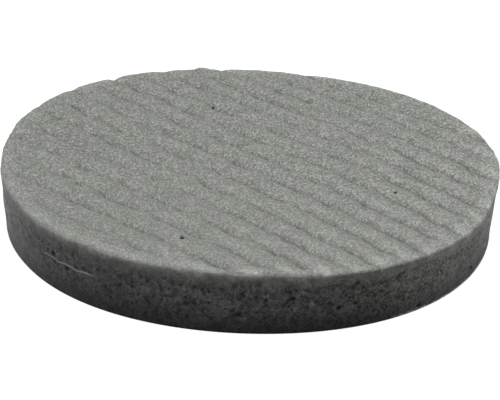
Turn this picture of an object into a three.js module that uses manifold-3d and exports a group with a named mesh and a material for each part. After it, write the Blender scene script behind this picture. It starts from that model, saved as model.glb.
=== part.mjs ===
// Foam furniture glide: a round pad punched out of ridged, fine-celled foam sheet.
// One piece, in millimetres, with +Z up and the origin at the centre of the flat underside.
// The sheet's skin has rows of low puffed ridges, parted by sharp creases. The punch gives the pad
// its slightly squarish outline, leans the wall in towards the foot and rounds the edge of the skin.

import * as THREE from "three";
import { mergeVertices } from "three/addons/utils/BufferGeometryUtils.js";
import Module from "manifold-3d";

const wasm = await Module();
wasm.setup();

const degrees = Math.PI / 180;

// Punched blank
const rimDiameter = 40; // widest, just below the rounded edge of the skin
const footDiameter = 39.1; // flat underside
const padThickness = 5; // underside to the highest crests
const uprightHeight = 0.8; // the last of the cut, where the wall stands upright
const edgeRadius = 0.3; // rounded edge of the skin
const squareness = 0.235; // how far four soft corners stand out of the round
const squareHeading = 42.8 * degrees;
const lobing = 0.22; // how far three lobes stand out of the round
const lobeHeading = 18.2 * degrees;

// Ridges of the skin
const ridgePitch = 2.32; // crease to crease
const ridgeHeight = 0.25; // crease to the highest crest
const ridgeHeading = -42.5 * degrees; // direction that the ridges run in
const ridgeShift = 1.05; // the first crease beyond the centre, across the ridges
const ridgeBow = 0.5; // sideways drift of the ridges at the rim: an even bow
const ridgeHook = 0.9; // a drift that turns one end more than the other
const ridgeFan = 0.95; // one that spreads the ridges on one side
const ridgeSpread = 0.44; // and one that spreads them at both ends

// Puffed segments along each ridge
const puffLength = 3.1; // one segment
const puffDip = 0.3; // share of the height lost between two segments
const puffStagger = 0.382; // shift from one ridge to the next, in segments
const creaseWander = 0.11; // sideways wander of a crease
const wanderLength = 7.4; // length of one wander

// Fineness of the facets
const wallSteps = 90; // round the pad
const profileSteps = 3; // round the edge of the skin
const stepsPerRidge = 6; // across one ridge
const stepLength = 1; // along the ridges

// Foam as it looks from a step away
const foamColour = 0x8c8f8a;
const foamRoughness = 0.92;

function toSolid(geometry) {
  const bare = geometry.clone();
  bare.deleteAttribute("normal");
  bare.deleteAttribute("uv");
  const merged = mergeVertices(bare);
  const index = merged.index.array;
  const kept = [];
  for (let i = 0; i < index.length; i += 3) {
    const [a, b, c] = [index[i], index[i + 1], index[i + 2]];
    // A revolved profile leaves triangles of no area on its axis.
    if (a !== b && b !== c && c !== a) kept.push(a, b, c);
  }
  return new wasm.Manifold(new wasm.Mesh({
    numProp: 3,
    vertProperties: new Float32Array(merged.attributes.position.array),
    triVerts: new Uint32Array(kept),
  }));
}

function toGeometry(solid) {
  const mesh = solid.getMesh();
  const geometry = new THREE.BufferGeometry();
  geometry.setAttribute("position", new THREE.BufferAttribute(mesh.vertProperties, mesh.numProp));
  geometry.setIndex(new THREE.BufferAttribute(mesh.triVerts, 1));
  geometry.computeVertexNormals();
  return geometry;
}

function movePoints(geometry, move) {
  const points = geometry.attributes.position;
  const point = new THREE.Vector3();
  for (let i = 0; i < points.count; i += 1) {
    move(point.fromBufferAttribute(points, i));
    points.setXYZ(i, point.x, point.y, point.z);
  }
  return geometry;
}

// The punch is not quite round: four soft corners and three lobes stand out of the circle.
function outOfRound(angle) {
  const corners = squareness * Math.cos(4 * (angle - squareHeading));
  const lobes = lobing * Math.cos(3 * (angle - lobeHeading));
  return 1 + (corners + lobes) / (rimDiameter / 2);
}

// The blank: a revolved profile with a flat foot, a leaning wall and a rounded upper edge.
function punchedBlank() {
  const rimRadius = rimDiameter / 2;
  const shoulder = padThickness - edgeRadius;
  const profile = new THREE.Path();
  profile.moveTo(0, 0);
  profile.lineTo(footDiameter / 2, 0);
  profile.lineTo(footDiameter / 2, uprightHeight);
  profile.lineTo(rimRadius, shoulder);
  profile.absarc(rimRadius - edgeRadius, shoulder, edgeRadius, 0, Math.PI / 2, false);
  profile.lineTo(0, padThickness);
  const blank = new THREE.LatheGeometry(profile.getPoints(profileSteps), wallSteps);
  blank.rotateX(Math.PI / 2);
  return movePoints(blank, (point) => {
    const stretch = outOfRound(Math.atan2(point.y, point.x));
    point.x *= stretch;
    point.y *= stretch;
  });
}

// Height of the skin above its creases, as a share of the ridge height. Each ridge is an arch, so
// two of them meet in a sharp crease. place counts creases across the sheet, and along is the
// distance along them.
function skinRise(along, place) {
  const fromCrease = 2 * Math.abs(place - Math.round(place));
  const arch = 1 - (1 - fromCrease) ** 2;
  const puff = Math.cos(2 * Math.PI * (along / puffLength + Math.floor(place) * puffStagger));
  return arch * (1 - puffDip * (1 - puff) / 2);
}

// Sideways drift of the ridges, which follow the bent rollers that pressed them.
function ridgeDrift(along, across) {
  const a = along / (rimDiameter / 2);
  const b = across / (rimDiameter / 2);
  const wander = Math.sin(2 * Math.PI * (along / wanderLength + across / rimDiameter));
  const bend = ridgeBow * a ** 2 + ridgeHook * a ** 3;
  return bend + a * b * (ridgeFan * (a - b) + ridgeSpread) + creaseWander * wander;
}

// The sheet before punching: a slab whose upper face carries the ridges and whose lower face
// lies below the foot, so that the foot stays flat.
function ridgedSheet() {
  const ridges = 2 * Math.ceil(rimDiameter / ridgePitch / 2 + 1);
  const length = rimDiameter + 2 * ridgePitch;
  const columns = Math.ceil(length / stepLength);
  const rows = ridges * stepsPerRidge;
  const sheet = new THREE.BoxGeometry(length, ridges * ridgePitch, padThickness, columns, rows, 1);
  movePoints(sheet, (point) => {
    const upper = point.z > 0;
    const rise = ridgeHeight * (skinRise(point.x, point.y / ridgePitch) - 1);
    point.z = upper ? padThickness + rise : -ridgeHeight;
    point.y += ridgeShift - ridgeDrift(point.x, point.y);
  });
  return sheet.rotateZ(ridgeHeading);
}

function foamPad() {
  const punched = toSolid(ridgedSheet()).intersect(toSolid(punchedBlank()));
  const foam = new THREE.MeshStandardMaterial({
    color: foamColour,
    roughness: foamRoughness,
    metalness: 0,
  });
  const pad = new THREE.Mesh(toGeometry(punched), foam);
  pad.name = "foam_pad";
  return pad;
}

const glide = new THREE.Group();
glide.name = "furniture_glide";
glide.add(foamPad());

export default glide;
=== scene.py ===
# %% [markdown]
# # A foam glide for a furniture leg
# The object is one disc, 40 mm across and 5 mm thick, punched out of ridged, fine-celled foam sheet.
# Its pale skin has rows of low puffed ridges, and its dark cut wall shows the open cells of the foam.
# A simple solid of the disc comes first, from the frame. This script makes the disc again with a much
# finer surface, and puts it exactly where that solid lies.

# %% Load the frame
import math

import bpy
import numpy as np
from mathutils import Matrix, Vector


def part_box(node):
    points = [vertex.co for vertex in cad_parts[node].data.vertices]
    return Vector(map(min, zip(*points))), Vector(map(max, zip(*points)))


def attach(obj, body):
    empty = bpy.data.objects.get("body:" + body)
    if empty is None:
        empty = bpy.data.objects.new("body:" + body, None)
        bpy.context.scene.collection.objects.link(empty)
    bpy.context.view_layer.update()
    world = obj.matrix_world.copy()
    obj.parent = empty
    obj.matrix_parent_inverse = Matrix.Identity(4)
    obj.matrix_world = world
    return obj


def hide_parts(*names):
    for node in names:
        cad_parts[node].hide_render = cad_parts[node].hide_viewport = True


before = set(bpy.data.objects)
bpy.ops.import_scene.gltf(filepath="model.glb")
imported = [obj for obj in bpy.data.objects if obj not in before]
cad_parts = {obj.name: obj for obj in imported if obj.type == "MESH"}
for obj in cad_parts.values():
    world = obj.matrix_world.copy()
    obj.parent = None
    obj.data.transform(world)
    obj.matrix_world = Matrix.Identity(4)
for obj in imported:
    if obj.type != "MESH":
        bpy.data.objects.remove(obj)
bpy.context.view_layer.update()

MM = 0.001
pad_low, pad_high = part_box("foam_pad")
print("foam_pad measures", [round(side / MM, 2) for side in pad_high - pad_low], "mm")

# %% [markdown]
# ## The camera
# The photograph looks down on the pad at about 25 degrees from 14 cm away, through a long lens,
# and it is held a little crooked. The camera turns about its own line of sight for that, which
# leaves the pad level on its floor.

# %% Place the camera
camera_distance = 140 * MM
camera_height_angle = math.radians(24.87)
camera_roll = math.radians(2.54)
aim_height = 2.43 * MM
aim_right = 0.154 * MM
aim_up = -1.05 * MM
lens_mm = 126.08
sensor_mm = 36
nearest_seen = 10 * MM


def place_camera():
    data = bpy.data.cameras.new("photo_camera")
    data.sensor_fit = "HORIZONTAL"
    data.sensor_width = sensor_mm
    data.lens = lens_mm
    data.clip_start = nearest_seen
    camera = bpy.data.objects.new("photo_camera", data)
    bpy.context.scene.collection.objects.link(camera)
    across = Vector((0, -math.cos(camera_height_angle), math.sin(camera_height_angle)))
    position = Vector((0, 0, aim_height)) + camera_distance * across
    upward = Vector((0, math.sin(camera_height_angle), math.cos(camera_height_angle)))
    aim = Vector((aim_right, 0, aim_height)) + aim_up * upward
    forward = (aim - position).normalized()
    right = forward.cross(Vector((0, 0, 1))).normalized()
    turn = Matrix((right, right.cross(forward), -forward)).transposed()
    turn = turn @ Matrix.Rotation(camera_roll, 3, "Z")
    camera.matrix_world = Matrix.Translation(position) @ turn.to_4x4()
    bpy.context.scene.camera = camera
    return camera


camera = place_camera()
print("camera", [round(c / MM, 1) for c in camera.location], "mm, lens", lens_mm, "mm")

# %% [markdown]
# ## The studio
# Most of the light comes from a large soft panel overhead, a little to the left, so the skin is
# bright, the front of the cut wall stays dark and each ridge has a shaded side. A strong low panel
# at the right and a weak one at the left, both a little behind the pad, lighten the ends of the
# wall. A real white floor would light the dark wall from below. This one only looks white to the
# camera and to reflections: it throws little light back up, and it keeps the shadow of the pad.

# %% Light the studio
world_level = 0.14
floor_width = 3.0
floor_bounce = 0.15
floor_glow = 0.94
floor_shade = 0.22
floor_lift = 0.01 * MM

# Each panel has a name, a place, its width and height, and its brightness, where a white card is 1.
panels = [("overhead_panel", (-0.11, -0.01, 0.42), (0.36, 0.36), 3.95),
          ("left_panel", (-0.45, 0.08, 0.14), (0.20, 0.26), 0.5),
          ("right_panel", (0.40, 0.16, 0.15), (0.20, 0.26), 4.8)]


def softbox(name, position, size, level):
    """A rectangular lamp that faces the pad."""
    data = bpy.data.lights.new(name, "AREA")
    data.shape = "RECTANGLE"
    data.size, data.size_y = size
    data.energy = level * math.pi * data.size * data.size_y
    lamp = bpy.data.objects.new(name, data)
    bpy.context.scene.collection.objects.link(lamp)
    lamp.location = position
    lamp.rotation_euler = (-Vector(position)).to_track_quat("-Z", "Y").to_euler()


for panel in panels:
    softbox(*panel)

world = bpy.data.worlds.new("studio")
world.use_nodes = True
bpy.context.scene.world = world
bpy.context.scene.view_settings.view_transform = "Standard"


def white_to_the_eye(tree, socket):
    """1 for camera, mirror and glass rays, 0 for the rays that carry soft light."""
    path = tree.nodes.new("ShaderNodeLightPath")
    largest = path.outputs["Is Camera Ray"]
    for kind in ("Is Glossy Ray", "Is Transmission Ray"):
        either = tree.nodes.new("ShaderNodeMath")
        either.operation = "MAXIMUM"
        tree.links.new(largest, either.inputs[0])
        tree.links.new(path.outputs[kind], either.inputs[1])
        largest = either.outputs[0]
    tree.links.new(largest, socket)


def light_world():
    tree = world.node_tree
    background = tree.nodes["Background"]
    strength = tree.nodes.new("ShaderNodeMix")
    strength.inputs["A"].default_value = world_level
    strength.inputs["B"].default_value = 1.0
    white_to_the_eye(tree, strength.inputs["Factor"])
    tree.links.new(strength.outputs["Result"], background.inputs["Strength"])
    background.inputs["Color"].default_value = (1, 1, 1, 1)


def floor_material():
    material = bpy.data.materials.new("studio_floor")
    material.use_nodes = True
    tree = material.node_tree
    tree.nodes.clear()
    bounce = tree.nodes.new("ShaderNodeBsdfDiffuse")
    bounce.inputs["Color"].default_value = (floor_bounce, floor_bounce, floor_bounce, 1)
    shade = tree.nodes.new("ShaderNodeBsdfDiffuse")
    shade.inputs["Color"].default_value = (floor_shade, floor_shade, floor_shade, 1)
    glow = tree.nodes.new("ShaderNodeEmission")
    glow.inputs["Strength"].default_value = floor_glow
    seen = tree.nodes.new("ShaderNodeAddShader")
    tree.links.new(shade.outputs[0], seen.inputs[0])
    tree.links.new(glow.outputs[0], seen.inputs[1])
    choice = tree.nodes.new("ShaderNodeMixShader")
    white_to_the_eye(tree, choice.inputs[0])
    tree.links.new(bounce.outputs[0], choice.inputs[1])
    tree.links.new(seen.outputs[0], choice.inputs[2])
    output = tree.nodes.new("ShaderNodeOutputMaterial")
    tree.links.new(choice.outputs[0], output.inputs[0])
    return material


def lay_floor():
    half = floor_width / 2
    ends = [(-half, -half), (half, -half), (half, half), (-half, half)]
    # A hair above the underside, so that the two don't lie in the same plane.
    corners = [(x, y, floor_lift) for x, y in ends]
    mesh = bpy.data.meshes.new("studio_floor")
    mesh.from_pydata(corners, [], [(0, 1, 2, 3)])
    mesh.materials.append(floor_material())
    floor = bpy.data.objects.new("studio_floor", mesh)
    bpy.context.scene.collection.objects.link(floor)


light_world()
lay_floor()
print("studio:", len(panels), "panels, a dim world and a white floor")

# %% [markdown]
# ## Sums written as sums
# The ridges, the puffs along them and the cut cells all follow rules with a dozen steps each.
# A node tree built socket by socket hides such a rule, so this small class lets a socket be
# added, multiplied and divided like a number. It works in geometry trees and in shader trees,
# because both use the same math nodes. All lengths in these sums are in millimetres.

# %% A socket that can be calculated with


class Field:
    """One output socket of a node tree, for use in sums."""

    def __init__(self, tree, socket):
        self.tree = tree
        self.socket = socket

    def __add__(self, other):
        return calculate(self.tree, "ADD", self, other)

    def __sub__(self, other):
        return calculate(self.tree, "SUBTRACT", self, other)

    def __rsub__(self, other):
        return calculate(self.tree, "SUBTRACT", other, self)

    def __mul__(self, other):
        return calculate(self.tree, "MULTIPLY", self, other)

    def __truediv__(self, other):
        return calculate(self.tree, "DIVIDE", self, other)

    def __pow__(self, other):
        return calculate(self.tree, "POWER", self, other)

    __radd__ = __add__


def feed(tree, socket, value):
    """Gives an input socket its value: a field, a plain socket or a number."""
    if isinstance(value, Field):
        tree.links.new(value.socket, socket)
    elif isinstance(value, bpy.types.NodeSocket):
        tree.links.new(value, socket)
    else:
        socket.default_value = value


def calculate(tree, operation, *values):
    """The result of one math node."""
    node = tree.nodes.new("ShaderNodeMath")
    node.operation = operation
    for socket, value in zip(node.inputs, values):
        feed(tree, socket, value)
    return Field(tree, node.outputs[0])


def ramp(tree, value, start, end, low=0.0, high=1.0):
    """low before start, high after end, and a smooth way between them."""
    node = tree.nodes.new("ShaderNodeMapRange")
    node.interpolation_type = "SMOOTHSTEP"
    settings = {"Value": value, "From Min": start, "From Max": end, "To Min": low, "To Max": high}
    for name, number in settings.items():
        feed(tree, node.inputs[name], number)
    return Field(tree, node.outputs["Result"])


def split(tree, vector):
    node = tree.nodes.new("ShaderNodeSeparateXYZ")
    feed(tree, node.inputs[0], vector)
    return [Field(tree, socket) for socket in node.outputs]


def join(tree, x, y, z):
    node = tree.nodes.new("ShaderNodeCombineXYZ")
    for socket, value in zip(node.inputs, (x, y, z)):
        feed(tree, socket, value)
    return Field(tree, node.outputs[0])


def scaled(tree, vector, factor):
    node = tree.nodes.new("ShaderNodeVectorMath")
    node.operation = "SCALE"
    feed(tree, node.inputs[0], vector)
    feed(tree, node.inputs["Scale"], factor)
    return Field(tree, node.outputs[0])


def noise(tree, place, size, detail=2, roughness=0.5):
    """Soft random values from 0 to 1, in blobs about size across."""
    node = tree.nodes.new("ShaderNodeTexNoise")
    feed(tree, node.inputs["Vector"], place)
    node.inputs["Scale"].default_value = 1 / size
    node.inputs["Detail"].default_value = detail
    node.inputs["Roughness"].default_value = roughness
    return Field(tree, node.outputs[0])


def speckle(tree, place, size):
    """Hard random grains about size across, most of them dark and a few pale, from 0 to 1."""
    node = tree.nodes.new("ShaderNodeTexVoronoi")
    feed(tree, node.inputs["Vector"], place)
    node.inputs["Scale"].default_value = 1 / size
    return split(tree, node.outputs["Color"])[1] ** 2


middle = 0.5  # what noise comes to on average
speckle_mean = 0.33  # and speckle

print("sums can be written with Field")

# %% [markdown]
# ## The plain blank
# A round die with a slightly squarish edge punched the pad. The blank starts as a square grid of
# cells bent into a disc, because that keeps every cell about the same size, with no pinched centre
# for the ridges to stumble over. Rings of faces then follow the section down: round the soft edge of
# the skin, down the drawn-in wall, round the foot and in to the middle of the flat underside.

# %% The outline of the blank
squareness = 0.235
square_heading = math.radians(42.8)
lobing = 0.22
lobe_heading = math.radians(18.2)
outline_steps = 720
fitting_rounds = 4


def out_of_round(angle, radius):
    """Four soft corners and three lobes stand out of the circle."""
    corners = squareness * np.cos(4 * (angle - square_heading))
    lobes = lobing * np.cos(3 * (angle - lobe_heading))
    return 1 + (corners + lobes) / radius


def rim_radius_from_frame():
    """The radius whose squarish outline is as wide as the frame's solid."""
    angles = np.linspace(0, math.tau, outline_steps + 1)
    width = (pad_high.x - pad_low.x) / MM
    radius = width / 2
    for _ in range(fitting_rounds):
        outline = radius * out_of_round(angles, radius) * np.cos(angles)
        radius *= width / np.ptp(outline)
    return radius


rim_radius = rim_radius_from_frame()
print("rim radius", round(rim_radius, 3), "mm")

# %% The section of the blank
thickness = (pad_high.z - pad_low.z) / MM
edge_radius = 0.18
waist_inset = 0.45
waist_height = 0.8
waist_bend = 0.5  # how far from its end a curve starts to bend, as a share of the waist's height
flare_bend = 0.6
foot_inset = 0.46
foot_radius = 0.08
section_step = 0.145
curve_samples = 400


def bezier(a, b, c, d):
    t = np.linspace(0, 1, curve_samples)[:, None]
    a, b, c, d = (np.array(point, float) for point in (a, b, c, d))
    return (1 - t) ** 3 * a + 3 * (1 - t) ** 2 * t * b + 3 * (1 - t) * t * t * c + t ** 3 * d


def arc(centre, radius, start, end):
    angles = np.radians(np.linspace(start, end, curve_samples))
    return np.array(centre) + radius * np.stack([np.cos(angles), np.sin(angles)], axis=1)


def section_line():
    """Points of radius and height at even steps, from the edge of the skin down to the underside."""
    shoulder = thickness - edge_radius
    waist = rim_radius - waist_inset
    foot = rim_radius - foot_inset
    slope = waist_inset / (shoulder - waist_height)
    reach = waist_height * waist_bend
    edge = arc((rim_radius - edge_radius, shoulder), edge_radius, 90, 0)
    wall = bezier((rim_radius, shoulder), (rim_radius - slope * reach, shoulder - reach),
                  (waist, waist_height + reach), (waist, waist_height))
    flare = bezier((waist, waist_height), (waist, waist_height * flare_bend), (foot, reach),
                   (foot, foot_radius))
    turn = arc((foot - foot_radius, foot_radius), foot_radius, 0, -90)
    line = np.concatenate([edge, wall[1:], flare[1:], turn[1:]])
    lengths = np.concatenate([[0], np.cumsum(np.hypot(*np.diff(line, axis=0).T))])
    rows = round(lengths[-1] / section_step)
    stops = np.linspace(0, lengths[-1], rows + 1)
    points = np.stack([np.interp(stops, lengths, line[:, 0]), np.interp(stops, lengths, line[:, 1])])
    return points.T, stops


section_points, section_lengths = section_line()
print("section:", len(section_points), "rows over", round(section_lengths[-1], 2), "mm")

# %% Bend a square grid into a disc
grid_cells = 240


def disc_grid(cells):
    """Places in a disc of radius 1 for the corners of a square grid, row by row."""
    steps = np.linspace(-1, 1, cells + 1)
    a, b = np.meshgrid(steps, steps)
    wide = np.abs(a) >= np.abs(b)
    reach = np.where(wide, a, b)
    safe = np.where(reach == 0, 1, reach)
    angle = np.where(wide, math.pi / 4 * b / safe, math.pi / 2 - math.pi / 4 * a / safe)
    return reach * np.cos(angle), reach * np.sin(angle)


def corner_numbers(cells):
    return np.arange((cells + 1) ** 2).reshape(cells + 1, cells + 1)


def grid_border(cells):
    """The numbers of the grid's outer corners, anticlockwise."""
    number = corner_numbers(cells)
    return np.concatenate([number[0, :-1], number[:-1, -1], number[-1, :0:-1], number[:0:-1, 0]])


disc_x, disc_y = disc_grid(grid_cells)
border = grid_border(grid_cells)
print("grid:", disc_x.size, "corners,", len(border), "of them on the border")

# %% Hang the rings below it
underside_rings = (0.985, 0.8, 0.45)  # as shares of the foot's radius
flat_radius = rim_radius - edge_radius


def blank_points():
    """All points in millimetres: the grid, the rings from the skin's edge down, and the centre."""
    angle = np.arctan2(disc_y, disc_x)
    stretch = out_of_round(angle, rim_radius) * flat_radius
    top = [disc_x * stretch, disc_y * stretch, np.full_like(disc_x, thickness)]
    top = np.stack(top, axis=-1).reshape(-1, 3)
    around = angle.ravel()[border]
    circle = out_of_round(around, rim_radius)
    profile = list(section_points[1:])
    profile += [(section_points[-1][0] * share, 0.0) for share in underside_rings]
    rings = [np.stack([r * circle * np.cos(around), r * circle * np.sin(around),
                       np.full_like(around, z)], axis=-1) for r, z in profile]
    return np.concatenate([top, *rings, [[0, 0, 0]]])


def blank_faces(point_count):
    number = corner_numbers(grid_cells)
    quads = np.stack([number[:-1, :-1], number[:-1, 1:], number[1:, 1:], number[1:, :-1]], axis=-1)
    faces = quads.reshape(-1, 4).tolist()
    centre = point_count - 1
    upper = border
    for start in range(number.size, centre, len(border)):
        lower = start + np.arange(len(border))
        strip = np.stack([upper, lower, np.roll(lower, -1), np.roll(upper, -1)], axis=-1)
        faces += strip.tolist()
        upper = lower
    faces += [(int(a), centre, int(b)) for a, b in zip(upper, np.roll(upper, -1))]
    return faces


def cut_depths(point_count):
    """How far each point lies past the border of the flat skin, down the section."""
    top = (np.hypot(disc_x, disc_y).ravel() - 1) * flat_radius
    wall = np.repeat(section_lengths[1:], len(border))
    under = np.full(point_count - len(top) - len(wall), section_lengths[-1])
    return np.concatenate([top, wall, under])


def blank_mesh():
    points = blank_points()
    depths = cut_depths(len(points))
    on_underside = depths == section_lengths[-1]
    mesh = bpy.data.meshes.new("foam_disc")
    mesh.from_pydata((points * MM).tolist(), [], blank_faces(len(points)))
    for name, values in (("cut_depth", depths), ("underside", on_underside.astype(float))):
        mesh.attributes.new(name, "FLOAT", "POINT").data.foreach_set("value", values)
    mesh.shade_smooth()
    return mesh


pad = bpy.data.objects.new("foam_disc", blank_mesh())
bpy.context.scene.collection.objects.link(pad)
print("blank:", len(pad.data.vertices), "points,", len(pad.data.polygons), "faces")

# %% [markdown]
# ## The ridges, as a rule
# Rollers pressed the ridges into the warm sheet. They run from the back left to the front right,
# 2.3 mm apart, bend a little and wander. Each is an arch, so that two of them meet in a sharp crease,
# and it is puffed into segments about 3 mm long. Most creases come and go, but at the right front
# they are even, and the sheet puffed up higher between them. At the rim every other crease fades out.
# A picture of the ridges would be easier to make, but a rule gives them true relief, and geometry
# and materials can both follow it. It first finds where a point lies: how far along the ridges, and
# how many ridges across. Everything else follows from those two numbers.

# %% Rule of the ridges
ridge_pitch = 2.32
ridge_height = 0.30
ridge_heading = math.radians(-42.5)
ridge_shift = 1.05
ridge_bow = 0.5
ridge_hook = 0.9
ridge_fan = 0.95
ridge_spread = 0.44
ridge_stray = 0.6
ridge_stray_size = 1.9
ridge_stray_stretch = 0.55

crease_stray = 0.38
crease_stray_size = 0.6
crease_length = 2.4
crease_step = 5.37  # keeps the random values of one crease apart from those of the next
crease_seed = 3.1
crease_depth_size = 1.0
crease_span = (0.28, 0.70)  # the noise at which a crease is shallowest and deepest
crease_shallowest = 0.15
crease_deepest = 1.7

puff_length = 3.1
puff_dip = 0.07
puff_stagger = 0.382

rim_merge = 0.9
rim_merge_width = 2.5
lively_heading = math.radians(-38)
lively_span = (0.1, 0.8)
lively_gain = 0.6
lively_evenness = 1.1


def toward(tree, x, y, heading):
    """How far a point lies in the direction of heading: 0 at the centre and 1 at the rim."""
    return (x * math.cos(heading) + y * math.sin(heading)) / rim_radius


def liveliness(tree, x, y):
    """1 over most of the skin, and more at the right front, where the sheet puffed up most."""
    return ramp(tree, toward(tree, x, y, lively_heading), *lively_span, 1.0, 1.0 + lively_gain)


def near_rim(tree, depth):
    """0 on most of the skin and 1 at the rim."""
    return ramp(tree, depth, -rim_merge_width, 0.0)


def ridge_place(tree, x, y):
    """How far along the ridges a point lies, and how many ridges across, both as fields."""
    along = x * math.cos(ridge_heading) + y * math.sin(ridge_heading)
    across = y * math.cos(ridge_heading) - x * math.sin(ridge_heading) - ridge_shift
    a = along / rim_radius
    b = across / rim_radius
    drift = a * a * ridge_bow + a * a * a * ridge_hook
    drift = drift + a * b * ((a - b) * ridge_fan + ridge_spread)
    track = join(tree, along * ridge_stray_stretch, across, 0)
    stray = noise(tree, track, ridge_stray_size, detail=3) - middle
    return along, (across + drift + stray * ridge_stray) / ridge_pitch


def crease_distance(tree, along, place, rim, lively):
    """From -1 on a crest to 0 in the crease and 1 on the next crest, and the depth of that crease."""
    crease = calculate(tree, "ROUND", place)
    away = place - crease
    track = join(tree, along / crease_length, crease * crease_step, crease_seed)
    stray = (noise(tree, track, crease_stray_size, roughness=0.6) - middle) * crease_stray
    room = 1 - calculate(tree, "ABSOLUTE", away) * 2
    distance = (away + stray * room) * 2
    chance = noise(tree, track, crease_depth_size)
    depth = ramp(tree, chance, *crease_span, crease_shallowest, crease_deepest)
    depth = 1 + (depth - 1) * (1 - (lively - 1) * lively_evenness)
    every_other = calculate(tree, "PINGPONG", crease, 1.0)
    return distance, depth * (1 - rim * (1 - every_other) * rim_merge)


def ridge_rise(tree, along, place, rim, lively):
    """Height of the puffs, 1 on a crest and falling in an arch to the creases."""
    distance, depth = crease_distance(tree, along, place, rim, lively)
    distance = calculate(tree, "ABSOLUTE", distance)
    turns = along / puff_length + calculate(tree, "FLOOR", place) * puff_stagger
    dip = (1 - calculate(tree, "COSINE", turns * math.tau)) * puff_dip
    return 1 - (1 - distance) ** 2 * depth - distance * dip


print("ridges", ridge_pitch, "mm apart, up to", ridge_height, "mm high")

# %% [markdown]
# ## The cut cells, as a rule
# The die cut through thousands of tiny bubbles. The largest show as pits up to 0.6 mm wide, sunk into
# the wall, with shade painted into them. The others are too fine for the mesh, so only the material
# has them, as painted shade. A Voronoi pattern scatters centres at roughly even spacing, and its
# random colour gives each centre a pit of its own size. The geometry and the material follow the same
# rule, so that the shade painted into each large pit lies where it is deep. On the two sides of the
# pad the cells are drawn out along the wall, so the whole pattern is stretched from front to back.

# %% Rule of the cells and pinholes
# The smallest and largest radius are shares of the spacing, and rarity makes large cells rarer.
large_cells = {"spacing": 1.15, "smallest": 0.05, "largest": 0.28, "rarity": 2.0}
medium_cells = {"spacing": 0.55, "smallest": 0.16, "largest": 0.44}
small_cells = {"spacing": 0.30, "smallest": 0.20, "largest": 0.55}
side_stretch = 1.8
pit_floor = 0.5  # how much of a pit's radius is at full depth

# Each pinhole has its x, its y and its radius.
pinholes = [(-4.6, -14.5, 0.28), (11.28, -5.25, 0.18), (10.5, 15.5, 0.16),
            (-3.3, 10.9, 0.14), (-5.5, -3.3, 0.15)]


def drawn_out(tree, place):
    """The place for the patterns of the wall, which are longer on the sides than at the front."""
    x, y, z = split(tree, place)
    return join(tree, x, y / side_stretch, z)


def open_cells(tree, place, spacing, smallest, largest, rarity=1.0):
    """1 in an open cell and 0 between cells."""
    node = tree.nodes.new("ShaderNodeTexVoronoi")
    feed(tree, node.inputs["Vector"], drawn_out(tree, place))
    node.inputs["Scale"].default_value = 1 / spacing
    distance = Field(tree, node.outputs["Distance"])
    chance = split(tree, node.outputs["Color"])[0]
    radius = smallest + chance ** rarity * (largest - smallest)
    return ramp(tree, distance, radius, radius * pit_floor)


def pinhole_mask(tree, x, y):
    """1 at each pinhole in the skin."""
    found = 0.0
    for hole_x, hole_y, radius in pinholes:
        away = ((x - hole_x) ** 2 + (y - hole_y) ** 2) ** 0.5
        here = ramp(tree, away, radius, radius * pit_floor)
        found = calculate(tree, "MAXIMUM", here, found)
    return found


print(len(pinholes), "pinholes, large cells", large_cells["spacing"], "mm apart")

# %% [markdown]
# ## Relief by Geometry Nodes
# The rules move the points of the blank. The tree first stores where each point was, because the
# materials read that place and so stay in step with the relief. Its first move presses the ridges,
# lets them fade down the wall, raises one small lump on the back rim, and rolls the skin over the
# edge at the right front, where the die came down hardest. It also draws the rim in and out: a few
# listed dents and bulges, and a fine waver all round. Its second move goes along the normals: it
# wrinkles the skin, sinks the pinholes, wears the edge and opens the cells of the wall. The underside
# stays flat. Sculpting by hand could do all this too, but a tree can be tuned and run again.

# %% Sizes of the first move
fade_span = (0.25, 2.6)
rim_calm = 0.85
rim_calm_width = 1.0
loose_heading = math.radians(125)  # at the back left the ridges run out over the rim
loose_span = (0.5, 0.9)
loose_calm = 0.3
rolled_heading = math.radians(-52)
rolled_span = (0.80, 0.95)
rolled_depth_span = (-1.4, 0.3)
roll_height = 0.22

lump_x = -4.6
lump_y = 19.0
lump_span = (0.2, 0.9)
lump_height = 0.16

waver = 0.20
waver_size = 1.3
waver_start = (-1.0, 0.1)
waver_end = (0.3, 2.0)

# Each dent has its heading, the angles from it at which it is full and has ended, the depths down
# the section at which it is full and has ended, and how far it is drawn in, or bulges where below 0.
dents = [(243, 35, 47, 0.0, 4.3, 0.15), (346, 4, 16, 0.0, 5.5, 0.22),
         (188, 4, 14, 0.0, 1.6, 0.10), (344, 8, 22, 1.5, 6.0, 0.08),
         (191, 12, 26, 3.0, 7.0, -0.12), (168, 4, 12, 0.0, 4.3, -0.12),
         (12, 5, 14, 0.0, 4.3, -0.12)]
dent_rise = 1.5
dent_hold = 0.5


def sheet_rise(tree, x, y, depth, height):
    """How far the skin stands above or below its highest crests: ridges, lump and rolled edge."""
    along, across = ridge_place(tree, x, y)
    lively = liveliness(tree, x, y)
    rise = ridge_rise(tree, along, across, near_rim(tree, depth), lively)
    calm = ramp(tree, toward(tree, x, y, loose_heading), *loose_span, rim_calm, loose_calm)
    calm = calm * ramp(tree, depth, -rim_calm_width, 0.0)
    puffed = (rise - 1) * height * lively * (1 - calm)
    from_lump = ((x - lump_x) ** 2 + (y - lump_y) ** 2) ** 0.5
    lump = ramp(tree, from_lump, *lump_span, lump_height, 0.0)
    rolled = ramp(tree, toward(tree, x, y, rolled_heading), *rolled_span)
    rolled = rolled * ramp(tree, depth, *rolled_depth_span)
    return puffed + lump - rolled * roll_height


def cosine(angle):
    return math.cos(math.radians(angle))


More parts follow.
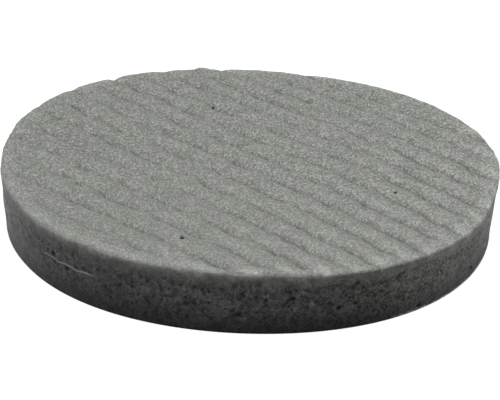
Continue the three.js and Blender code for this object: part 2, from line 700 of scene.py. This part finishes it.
def dented(tree, x, y, depth):
    """How far the die drew the foam inwards, and below 0 where it bulges out."""
    total = 0.0
    for heading, full, end, top, bottom, amount in dents:
        facing = toward(tree, x, y, math.radians(heading))
        here = ramp(tree, facing, cosine(end), cosine(full)) * ramp(tree, depth, top - dent_rise, top)
        here = here * ramp(tree, depth, top + dent_hold, bottom, 1.0, 0.0)
        total = here * amount + total
    return total


def wavering(tree, place, depth):
    """How far the rim strays inwards and outwards."""
    loose_rim = ramp(tree, depth, *waver_start) * ramp(tree, depth, *waver_end, 1.0, 0.0)
    return (noise(tree, place, waver_size) - middle) * loose_rim * waver


print("rim:", len(dents), "dents and bulges, and a waver of up to", waver / 2, "mm")

# %% Sizes of the second move
wrinkle_size = 0.62
wrinkle_height = 0.10
wrinkle_stretch = 0.8
wrinkle_top = 0.62  # the noise at which a wrinkle is level with the skin
pinhole_depth = 0.2
skin_end_span = (0.2, 0.7)

cell_depth = 0.11
wave_height = 0.05
wave_size = 1.3
wave_top = 0.6
dense_depth = 0.55  # the foam just under the skin is dense, without cells
dense_blend = 0.5
foot_span = (0.02, 0.3)

sharp_heading = math.radians(-48)  # at the right front the edge isn't worn
sharp_span = (0.78, 0.94)
wear_depth = 0.06
wear_reach = 0.42


def skin_push(tree, x, y, wrinkle):
    """How far the wrinkles and pinholes move the skin."""
    along, across = ridge_place(tree, x, y)
    track = join(tree, along * wrinkle_stretch, across * ridge_pitch, 0)
    crepe = noise(tree, track, wrinkle_size, detail=3, roughness=0.6)
    return (crepe - wrinkle_top) * wrinkle - pinhole_mask(tree, x, y) * pinhole_depth


def wall_push(tree, place, depth, pit):
    """How far soft waves and the large cells move the cut wall."""
    height = split(tree, place)[2]
    in_cut = ramp(tree, depth, dense_depth, dense_depth + dense_blend) * ramp(tree, height, *foot_span)
    waves = noise(tree, place, wave_size, detail=3, roughness=0.6) - wave_top
    return (waves * wave_height - open_cells(tree, place, **large_cells) * pit) * in_cut


def edge_wear(tree, x, y, depth):
    """How much wear took off the edge."""
    edge_middle = edge_radius * math.pi / 4
    away = calculate(tree, "ABSOLUTE", depth - edge_middle)
    worn = ramp(tree, toward(tree, x, y, sharp_heading), *sharp_span, 1.0, 0.0)
    return ramp(tree, away, 0.0, wear_reach, wear_depth, 0.0) * worn


print("relief:", wrinkle_height, "mm wrinkles and", cell_depth, "mm deep cells")

# %% Build the relief tree
wall_start = 0.01  # the depth at which the skin's material ends


def new_tree(name, kind, inputs, outputs):
    """A node group with its named sockets, and its input and output nodes."""
    tree = bpy.data.node_groups.new(name, kind)
    for label, socket, value in inputs:
        item = tree.interface.new_socket(name=label, in_out="INPUT", socket_type=socket)
        if value is not None:
            item.default_value = value
    for label, socket in outputs:
        tree.interface.new_socket(name=label, in_out="OUTPUT", socket_type=socket)
    return tree, tree.nodes.new("NodeGroupInput"), tree.nodes.new("NodeGroupOutput")


def attribute(tree, name, kind="FLOAT"):
    node = tree.nodes.new("GeometryNodeInputNamedAttribute")
    node.data_type = kind
    node.inputs["Name"].default_value = name
    return Field(tree, node.outputs["Attribute"])


def store_place(tree, geometry):
    """Keeps the place of each point, in millimetres, under the name foam_place."""
    node = tree.nodes.new("GeometryNodeStoreNamedAttribute")
    node.data_type = "FLOAT_VECTOR"
    node.domain = "POINT"
    node.inputs["Name"].default_value = "foam_place"
    position = tree.nodes.new("GeometryNodeInputPosition")
    tree.links.new(geometry, node.inputs["Geometry"])
    feed(tree, node.inputs["Value"], scaled(tree, position.outputs[0], 1 / MM))
    return node.outputs["Geometry"]


def move_points(tree, geometry, offset):
    """Moves each point by an offset in millimetres."""
    node = tree.nodes.new("GeometryNodeSetPosition")
    tree.links.new(geometry, node.inputs["Geometry"])
    feed(tree, node.inputs["Offset"], scaled(tree, offset, MM))
    return node.outputs["Geometry"]


def paint(tree, geometry, material, chosen=None):
    """Gives the material to all faces, or to the chosen ones."""
    node = tree.nodes.new("GeometryNodeSetMaterial")
    node.inputs["Material"].default_value = material
    tree.links.new(geometry, node.inputs["Geometry"])
    if chosen:
        feed(tree, node.inputs["Selection"], chosen)
    return node.outputs["Geometry"]


def relief_tree(skin, wall):
    tree, given, result = new_tree(
        "Foam relief", "GeometryNodeTree",
        [("Geometry", "NodeSocketGeometry", None),
         ("Ridge height", "NodeSocketFloat", ridge_height),
         ("Wrinkle height", "NodeSocketFloat", wrinkle_height),
         ("Cell depth", "NodeSocketFloat", cell_depth)],
        [("Geometry", "NodeSocketGeometry")])
    height, wrinkle, pit = (Field(tree, given.outputs[name])
                            for name in ("Ridge height", "Wrinkle height", "Cell depth"))
    geometry = store_place(tree, given.outputs["Geometry"])
    place = attribute(tree, "foam_place", "FLOAT_VECTOR")
    depth = attribute(tree, "cut_depth")
    above = 1 - attribute(tree, "underside")
    x, y, _ = split(tree, place)

    hold = ramp(tree, depth, *fade_span, 1.0, 0.0)
    press = sheet_rise(tree, x, y, depth, height) * hold * above
    inward = (dented(tree, x, y, depth) + wavering(tree, place, depth)) / rim_radius
    offset = join(tree, x * inward * -1, y * inward * -1, press)
    geometry = move_points(tree, geometry, offset)

    on_skin = ramp(tree, depth, *skin_end_span, 1.0, 0.0) * above
    push = skin_push(tree, x, y, wrinkle) * on_skin + wall_push(tree, place, depth, pit)
    push = push - edge_wear(tree, x, y, depth)
    normal = tree.nodes.new("GeometryNodeInputNormal")
    geometry = move_points(tree, geometry, scaled(tree, normal.outputs[0], push))

    realize = tree.nodes.new("GeometryNodeRealizeInstances")
    tree.links.new(geometry, realize.inputs[0])
    on_wall = calculate(tree, "GREATER_THAN", depth, wall_start) * above
    geometry = paint(tree, realize.outputs[0], skin)
    geometry = paint(tree, geometry, wall, on_wall)
    tree.links.new(geometry, result.inputs["Geometry"])
    return tree


print("the relief has three inputs:", ridge_height, wrinkle_height, cell_depth)

# %% [markdown]
# ## The finish of the skin
# Foam skin is matt and even from afar, but close up its grey drifts between a hint of green and a
# hint of pink, and it has a fine sugary grain. Shade is painted into the creases and just before each
# of them, and light just past each crease, on the flanks that face the front left, and a little more
# light towards the right. The skin is also paler along the rim. All that could be painted on an
# image, which would blur close up and end at the edge, so it is worked out from the stored place
# instead. The wall needs the same tone where the skin turns over the edge, so the tone is a group
# that both materials use.

# %% Sizes and strengths of the skin's tone
skin_green = (0.2590, 0.275, 0.2500, 1)
skin_pink = (0.2735, 0.275, 0.2590, 1)
drift_span = (0.35, 0.65)
hue_size = 2.2
blue_size = 2.0
blue_drift = 0.012

blotch_size = 0.5
blotch_strength = 0.45
patch_size = 1.3
patch_strength = 0.31
grain_size = 0.11
front_calm = 0.70
front_calm_span = (-0.75, 0.0)

crease_width = 0.20
# Painted shade in the creases, stronger at the right front.
painted_crease_shade = 0.09
painted_crease_lively_shade = 0.12
# Painted shade just before each crease and painted light just past it.
painted_crease_sides_span = (-0.1, 0.3)  # right beside a crease the skin is darker before it and paler past it
painted_crease_sides_base = 0.4
painted_crease_sides_strength = 0.09
# Painted light on the flank past each crease, fading towards the next.
painted_flank_start = (0.07, 0.25)
painted_flank_end = (0.27, 0.65)
painted_flank_mean = 0.30
painted_flank_strength = 0.25
painted_flank_rest = 0.87
rim_pale_span = (-1.6, -0.3)
rim_pale_strength = 0.15
# Painted light growing towards the right of the skin.
painted_light_heading = math.radians(-15)
painted_light_strength = 0.06
upper_span = (1.0, 3.0)  # heights between which the tone of the ridges comes in, above the underside

blotch_relief = 0.6
grain_relief = 0.4
crease_relief = 0.5


def mixed(tree, factor, a, b, blend="MIX"):
    node = tree.nodes.new("ShaderNodeMix")
    node.data_type = "RGBA"
    node.blend_type = blend
    for name, value in (("Factor", factor), ("A", a), ("B", b)):
        feed(tree, node.inputs[name], value)
    return Field(tree, node.outputs["Result"])


def shaded(tree, colour, level):
    """The colour, made darker or paler by a level that leaves it as it is at 1."""
    return mixed(tree, 1.0, colour, join(tree, level, level, level), "MULTIPLY")


print("skin between", skin_green[:3], "and", skin_pink[:3])

# %% Group for the tone of the skin


def ridge_painted_shading(tree, place, depth):
    """The painted light that the ridges add to the level of the skin, the painted shade and light and
    the paler rim that multiply it, and the creases.
    """
    x, y, z = split(tree, place)
    along, across = ridge_place(tree, x, y)
    lively = liveliness(tree, x, y)
    upper = ramp(tree, z, *upper_span)
    distance, strength = crease_distance(tree, along, across, near_rim(tree, depth), lively)
    near = 1 - calculate(tree, "ABSOLUTE", distance)
    crease = ramp(tree, near, 1 - crease_width, 1.0) * strength * upper
    # Painted shade in the creases.
    painted_shade_in_creases = 1 - crease * ((lively - 1) * painted_crease_lively_shade + painted_crease_shade)
    # Painted shade just before each crease and painted light just past it.
    painted_crease_sides = ramp(tree, distance, *painted_crease_sides_span, -1.0, 1.0)
    painted_crease_sides = painted_crease_sides * near * (strength + painted_crease_sides_base) * lively * upper
    # Painted light on the flank past each crease.
    past_crease = calculate(tree, "FRACT", distance * 0.5 + 1)
    painted_flank_light = ramp(tree, past_crease, *painted_flank_start) * ramp(tree, past_crease, *painted_flank_end, 1.0, 0.0)
    painted_flank_light = (painted_flank_light - painted_flank_mean) * (lively - painted_flank_rest) * upper * painted_flank_strength
    pale = ramp(tree, depth, *rim_pale_span) * upper * rim_pale_strength + 1
    return painted_flank_light, painted_shade_in_creases * (painted_crease_sides * painted_crease_sides_strength + 1) * pale, crease


def skin_tone_group():
    tree, given, result = new_tree(
        "Skin tone", "ShaderNodeTree",
        [("Place", "NodeSocketVector", None),
         ("Greener", "NodeSocketColor", skin_green),
         ("Pinker", "NodeSocketColor", skin_pink),
         ("Depth", "NodeSocketFloat", None)],
        [("Color", "NodeSocketColor"), ("Height", "NodeSocketFloat")])
    place = given.outputs["Place"]
    x, y, _ = split(tree, place)
    blotch = noise(tree, place, blotch_size, detail=3, roughness=0.65)
    patch = noise(tree, place, patch_size)
    grain = speckle(tree, place, grain_size)
    sugar = ramp(tree, y / rim_radius, *front_calm_span, front_calm, 1.0)
    level = (blotch - middle) * sugar * blotch_strength + (patch - middle) * patch_strength
    level = level + (grain - speckle_mean) * sugar + 1.0
    # The ridges bring painted light and shade into the skin.
    painted_flank_light, painted_ridge_shade, crease = ridge_painted_shading(tree, place, given.outputs["Depth"])
    # Painted light growing towards the right.
    painted_light_right = toward(tree, x, y, painted_light_heading) * painted_light_strength + 1
    level = (level + painted_flank_light) * painted_ridge_shade * painted_light_right

    # The hue is read on the far side of the centre, so that it follows none of the other patterns.
    hue = ramp(tree, noise(tree, scaled(tree, place, -1.0), hue_size), *drift_span)
    base = mixed(tree, hue, given.outputs["Greener"], given.outputs["Pinker"])
    blue = ramp(tree, noise(tree, place, blue_size), *drift_span, 1 - blue_drift, 1 + blue_drift)
    tone = mixed(tree, 1.0, base, join(tree, level, level, level * blue), "MULTIPLY")
    tree.links.new(tone.socket, result.inputs["Color"])
    height = blotch * blotch_relief + grain * grain_relief - crease * crease_relief
    tree.links.new(height.socket, result.inputs["Height"])
    return tree


skin_tone = skin_tone_group()
print("group", skin_tone.name, "made")

# %% Material of the skin
# Painted shade in the pinholes.
pinhole_shade_colour = (0.02, 0.02, 0.02, 1)
pinhole_height_span = (3.0, 3.5)
skin_bump_depth = 0.05
skin_bump_strength = 0.7


def new_material(name, roughness, specular):
    material = bpy.data.materials.new(name)
    material.use_nodes = True
    shader = material.node_tree.nodes["Principled BSDF"]
    shader.inputs["Roughness"].default_value = roughness
    shader.inputs["Specular IOR Level"].default_value = specular
    return material, material.node_tree, shader


def stored(tree, name, output="Fac"):
    """An attribute of the mesh: Fac for a number, Vector for a place."""
    node = tree.nodes.new("ShaderNodeAttribute")
    node.attribute_name = name
    return Field(tree, node.outputs[output])


def use_skin_tone(tree, place, depth):
    node = tree.nodes.new("ShaderNodeGroup")
    node.node_tree = skin_tone
    feed(tree, node.inputs["Place"], place)
    feed(tree, node.inputs["Depth"], depth)
    return node


def bump(tree, shader, height, depth_mm, strength):
    node = tree.nodes.new("ShaderNodeBump")
    node.inputs["Strength"].default_value = strength
    node.inputs["Distance"].default_value = depth_mm * MM
    feed(tree, node.inputs["Height"], height)
    tree.links.new(node.outputs["Normal"], shader.inputs["Normal"])


def skin_material():
    material, tree, shader = new_material("foam_skin", roughness=0.85, specular=0.25)
    place = stored(tree, "foam_place", "Vector")
    tone = use_skin_tone(tree, place, stored(tree, "cut_depth"))
    x, y, z = split(tree, place)
    # Painted shade in the pinholes.
    hole = pinhole_mask(tree, x, y) * ramp(tree, z, *pinhole_height_span)
    colour = mixed(tree, hole, tone.outputs["Color"], pinhole_shade_colour)
    feed(tree, shader.inputs["Base Color"], colour)
    bump(tree, shader, tone.outputs["Height"], skin_bump_depth, skin_bump_strength)
    return material


foam_skin = skin_material()
print("material", foam_skin.name, "made")

# %% [markdown]
# ## The finish of the cut wall
# Light that falls on cut foam gets lost in the cells, so the wall is much darker than the skin
# although the foam is the same. Shade is painted in towards the foot, where least light gets in, and
# light onto the front and the two ends. Just under the skin the foam is denser, smooth and a little
# warmer, and the pits start below that. A torn strand of foam sticks to the wall at the left, two
# faint scuffs mark its front, and a thin highlight is painted along the foot at the right. Modelling
# every cell would take millions of faces, so the small ones are a pattern of painted shade, and a
# little sheen stands for the frayed cell walls that catch light from the side.

# %% Sizes and strengths of the cut wall
dense_colour = (0.255, 0.257, 0.243, 1)
cut_colour = (0.142, 0.142, 0.141, 1)
drawn_colour = (0.159, 0.161, 0.152, 1)
drawn_span = (0.05, 0.6)
# Painted shade in the open cells.
pit_shade_colour = (0.030, 0.030, 0.030, 1)
medium_pit_shade = 0.9
small_pit_shade = 0.4
wall_sheen = 0.3
wall_sheen_roughness = 0.5
wall_bump_depth = 0.06
wall_bump_strength = 0.8
pit_relief = 0.6
wall_grain_relief = 0.3

mottle_size = 0.34
mottle_strength = 2.5
wall_patch_size = 0.75
wall_patch_strength = 2.0
wall_grain_size = 0.12
wall_grain_strength = 0.8
drawn_grain_gain = 0.5
darkest_level = 0.25
dense_level = 0.65
dense_contrast = 0.5
dense_span = (0.15, 1.60)
turned_start = 0.35
turned_end = 0.8
turned_least = 0.2

# Painted shade towards the foot of the wall.
painted_foot_shade = ((0.0, 3.2, 0.52), (0.0, 1.9, 0.40))  # lowest and highest, and the level at the lowest
# Painted light on the front of the wall.
painted_front_heading = math.radians(285)
painted_front_span = (0.70, 0.95)
painted_front_gain = 1.40
# Painted light at the left and right ends of the wall.
painted_left_end_span = (-0.97, -0.75)
painted_left_end_gain = 1.58
painted_right_end_span = (0.84, 1.0)
painted_right_end_gain = 2.3
# A painted highlight along the lip of the foot at the right front.
painted_lip_heading = math.radians(-32)
painted_lip_span = (0.86, 0.94)
painted_lip_height_span = (0.14, 0.28)
painted_lip_strength = 14
scuffs = [((-1.4, -19.6, 2.35), 0.55), ((4.8, -19.0, 2.4), 0.45)]  # place and radius
scuff_strength = 0.5

strand_colour = (0.50, 0.50, 0.48, 1)
strand_start = math.radians(221.2)
strand_end = math.radians(238.6)
strand_height = 2.52
strand_arches = 3
strand_rise = 0.12
strand_width = 0.075
strand_growth = 0.7
strand_core = 0.4
strand_taper = (0.0, 0.12)
strand_fade = (0.8, 1.0)

print("wall", cut_colour[:3], "and just under the skin", dense_colour[:3])

# %% Marks and grain of the cut wall


def scuffs_mask(tree, place):
    """1 in the middle of each pale scuff on the front of the wall."""
    found = 0.0
    for scuff_place, scuff_radius in scuffs:
        node = tree.nodes.new("ShaderNodeVectorMath")
        node.operation = "DISTANCE"
        feed(tree, node.inputs[0], place)
        node.inputs[1].default_value = scuff_place
        here = ramp(tree, Field(tree, node.outputs["Value"]), scuff_radius, 0.0)
        found = calculate(tree, "MAXIMUM", here, found)
    return found


def strand_mask(tree, place):
    """1 on the torn strand: a fine line that arches a few times along the wall."""
    x, y, z = split(tree, place)
    angle = calculate(tree, "ARCTAN2", y, x) + math.tau
    share = (angle - strand_start) / (strand_end - strand_start)
    arch = calculate(tree, "ABSOLUTE", calculate(tree, "SINE", share * strand_arches * math.pi))
    away = calculate(tree, "ABSOLUTE", z - strand_height - arch * strand_rise)
    width = share * strand_width * strand_growth + strand_width
    line = ramp(tree, away, width * strand_core, width, 1.0, 0.0)
    return line * ramp(tree, share, *strand_taper) * ramp(tree, share, *strand_fade, 1.0, 0.0)


def cut_grain(tree, place, drawn):
    """The random level of the cut, about 1 on average, and the finest grain in it."""
    mottle = noise(tree, place, mottle_size, detail=3, roughness=0.6)
    patch = noise(tree, place, wall_patch_size)
    grain = speckle(tree, place, wall_grain_size)
    level = (mottle - middle) * mottle_strength + (patch - middle) * wall_patch_strength
    level = level + (grain - speckle_mean) * (drawn * drawn_grain_gain + wall_grain_strength) + 1.0
    return calculate(tree, "MAXIMUM", level, darkest_level), grain


def local_level(tree, place, painted_front_light):
    """How dark or pale the cut is by where it lies: painted shade at the foot, painted light on the
    front and the two ends, a painted highlight on the lip, and the scuffs.
    """
    x, y, z = split(tree, place)
    level = painted_front_light
    # Painted shade towards the foot.
    for low, high, darkest in painted_foot_shade:
        level = level * ramp(tree, z, low, high, darkest, 1.0)
    # Painted light at the two ends.
    level = level * ramp(tree, x / rim_radius, *painted_left_end_span, painted_left_end_gain, 1.0)
    level = level * ramp(tree, x / rim_radius, *painted_right_end_span, 1.0, painted_right_end_gain)
    # A painted highlight on the lip.
    painted_lip_highlight = ramp(tree, toward(tree, x, y, painted_lip_heading), *painted_lip_span)
    painted_lip_highlight = painted_lip_highlight * ramp(tree, z, *painted_lip_height_span, 1.0, 0.0)
    return level * (painted_lip_highlight * painted_lip_strength + scuffs_mask(tree, place) * scuff_strength + 1)


print(len(scuffs), "scuffs and a strand with", strand_arches, "arches")

# %% Material of the cut wall


def wall_material():
    material, tree, shader = new_material("cut_foam", roughness=0.9, specular=0.15)
    shader.inputs["Sheen Weight"].default_value = wall_sheen
    shader.inputs["Sheen Roughness"].default_value = wall_sheen_roughness
    place = stored(tree, "foam_place", "Vector")
    depth = stored(tree, "cut_depth")
    x, y, _ = split(tree, place)
    drawn = ramp(tree, x / rim_radius, *drawn_span)
    level, grain = cut_grain(tree, drawn_out(tree, place), drawn)
    # Painted light on the front of the wall.
    painted_front_light = ramp(tree, toward(tree, x, y, painted_front_heading), *painted_front_span, 1.0, painted_front_gain)

    large = open_cells(tree, place, **large_cells)
    medium = open_cells(tree, place, **medium_cells) * medium_pit_shade
    small = open_cells(tree, place, **small_cells) * small_pit_shade
    pits = calculate(tree, "MAXIMUM", calculate(tree, "MAXIMUM", large, medium), small)
    core = mixed(tree, drawn, cut_colour, drawn_colour)
    core = shaded(tree, core, level * local_level(tree, place, painted_front_light))
    # Painted shade in the open cells.
    core = mixed(tree, pits, core, pit_shade_colour)

    dense = shaded(tree, dense_colour, (level * dense_contrast + dense_level) * painted_front_light)
    below = ramp(tree, depth, *dense_span)
    body = mixed(tree, below, dense, core)
    tone = use_skin_tone(tree, place, depth)
    turned = ramp(tree, depth, drawn * turned_start, drawn * turned_end + turned_least)
    colour = mixed(tree, turned, tone.outputs["Color"], body)
    strand = strand_mask(tree, place)
    feed(tree, shader.inputs["Base Color"], mixed(tree, strand, colour, strand_colour))
    height = (1 - pits) * below * pit_relief + grain * wall_grain_relief + strand
    bump(tree, shader, height, wall_bump_depth, wall_bump_strength)
    return material


cut_foam = wall_material()
print("material", cut_foam.name, "made")

# %% [markdown]
# ## The finished piece
# The relief runs once as a modifier, and its result becomes the plain mesh of the piece. A modifier
# that stayed would have to be worked out again wherever the piece goes. The piece then hangs from the
# frame's root body, and the frame's own solid is hidden.

# %% Apply the relief


def apply_relief(piece, tree):
    """Runs the tree on the piece, keeps the result as its plain mesh and drops the modifier."""
    modifier = piece.modifiers.new("relief", "NODES")
    modifier.node_group = tree
    values = {"Ridge height": ridge_height, "Wrinkle height": wrinkle_height, "Cell depth": cell_depth}
    for item in tree.interface.items_tree:
        if item.in_out == "INPUT" and item.name in values:
            modifier[item.identifier] = values[item.name]
    evaluated = piece.evaluated_get(bpy.context.evaluated_depsgraph_get())
    mesh = bpy.data.meshes.new_from_object(evaluated)
    piece.modifiers.remove(modifier)
    piece.data = mesh
    mesh.name = piece.name
    mesh.shade_smooth()


apply_relief(pad, relief_tree(foam_skin, cut_foam))
heights = [v.co.z / MM for v in pad.data.vertices]
print("pad:", len(pad.data.vertices), "points, height", round(min(heights), 3), "to",
      round(max(heights), 3), "mm, materials", [m.name for m in pad.data.materials])

# %% Hand the pad over
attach(pad, "root")
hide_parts("foam_pad")
